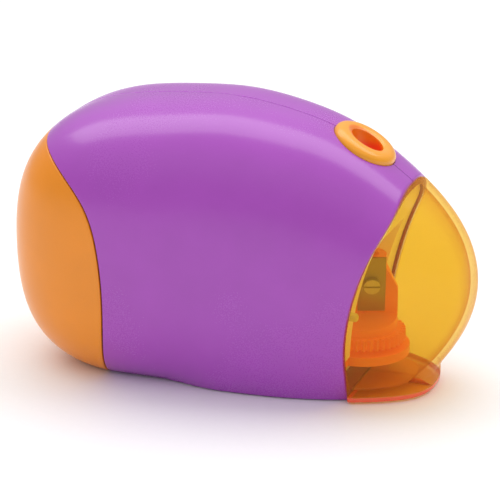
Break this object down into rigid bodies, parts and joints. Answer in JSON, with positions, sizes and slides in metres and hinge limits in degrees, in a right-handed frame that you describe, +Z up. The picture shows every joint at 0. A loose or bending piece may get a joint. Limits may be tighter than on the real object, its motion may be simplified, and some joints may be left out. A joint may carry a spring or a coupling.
{
  "type": "battery pencil sharpener",
  "caption": "Rounded desktop battery pencil sharpener with a two-shell body, rear battery cap, top pencil guide and clear front shavings bin over a geared cutter.",
  "frame": {"origin": "on the ground under the middle of the object's box", "axes": "+X towards the shavings bin, +Z up, Y = 0 is the seam between the two body shells"},
  "size_m": [0.1311, 0.069, 0.0788],
  "materials": {
    "purple_shell": "glossy moulded plastic, fine satin",
    "orange_cap": "glossy moulded plastic",
    "clear_orange": "clear tinted plastic, polished",
    "orange_plastic": "moulded plastic, satin",
    "pale_plastic": "natural moulded plastic",
    "gear_plastic": "natural acetal",
    "tray_plastic": "black moulded plastic",
    "bright_steel": "ground steel",
    "plated_steel": "nickel plated",
    "motor_steel": "zinc plated steel can",
    "magnet": "sintered ferrite",
    "copper_windings": "enamelled copper and steel laminations",
    "bush_brass": "sintered bronze",
    "foot_rubber": "soft rubber",
    "cell_wrap": "printed shrink sleeve, plain"
  },
  "bodies": {
    "body": {"right_shell": "purple_shell", "left_shell": "purple_shell", "shell_screws": "bright_steel", "rubber_feet": "foot_rubber", "pencil_guide": "orange_cap", "bulkhead": "pale_plastic", "gear_deck": "orange_plastic", "gear_cover": "pale_plastic", "frame_screws": "bright_steel", "spindle_bush": "bush_brass", "motor_can": "motor_steel", "motor_magnets": "magnet", "motor_end_bell": "tray_plastic", "motor_terminals": "bush_brass", "lever_pin": "bright_steel", "start_switch": "tray_plastic", "bin_switch": "tray_plastic", "battery_tray": "tray_plastic", "cell_1": "cell_wrap", "cell_2": "cell_wrap", "cell_3": "cell_wrap", "cell_4": "cell_wrap", "contact_plates": "plated_steel", "contact_springs": "plated_steel"},
    "battery_cap": {"battery_cap": "orange_cap", "cap_contacts": "plated_steel"},
    "shavings_bin": {"shavings_bin": "clear_orange"},
    "motor_rotor": {"motor_shaft": "bright_steel", "motor_armature": "copper_windings", "motor_pinion": "bush_brass"},
    "idler": {"idler_gear": "gear_plastic", "idler_pinion": "gear_plastic", "idler_shaft": "bright_steel"},
    "cutter": {"cutter_gear": "orange_plastic", "cutter_head": "orange_plastic", "cutter_blade": "bright_steel", "blade_screw": "bright_steel", "cutter_spindle": "bright_steel", "spindle_clip": "bright_steel"},
    "start_lever": {"start_lever": "gear_plastic"},
    "switch_plunger": {"switch_plunger": "gear_plastic"}
  },
  "joints": [
    {"name": "bin_slide", "type": "slide", "parent": "body", "child": "shavings_bin", "axis": [1, 0, 0], "range_m": [0, 0.025]},
    {"name": "cap_slide", "type": "slide", "parent": "body", "child": "battery_cap", "axis": [-1, 0, 0], "range_m": [0, 0.034]},
    {"name": "cutter_spin", "type": "hinge", "parent": "body", "child": "cutter", "pos_m": [0.0335, 0, 0.014], "axis": [0, 0, 1], "continuous": true},
    {"name": "idler_spin", "type": "hinge", "parent": "body", "child": "idler", "pos_m": [0.0173, 0, 0.006], "axis": [0, 0, 1], "continuous": true},
    {"name": "motor_spin", "type": "hinge", "parent": "body", "child": "motor_rotor", "pos_m": [0.0083, 0.01274, 0.02], "axis": [0, 0, 1], "continuous": true},
    {"name": "lever_press", "type": "hinge", "parent": "body", "child": "start_lever", "pos_m": [0.0242, 0, 0.0418], "axis": [0, 1, 0], "range_deg": [0, 10], "stiffness_Nm_per_rad": 0.01},
    {"name": "plunger_travel", "type": "slide", "parent": "body", "child": "switch_plunger", "axis": [1, 0, 0], "range_m": [0, 0.0015]}
  ],
  "couplings": [
    {"joint": "idler_spin", "follows": "motor_spin", "ratio": -0.3},
    {"joint": "cutter_spin", "follows": "motor_spin", "ratio": 0.12632},
    {"joint": "plunger_travel", "follows": "bin_slide", "ratio": 0.06}
  ]
}
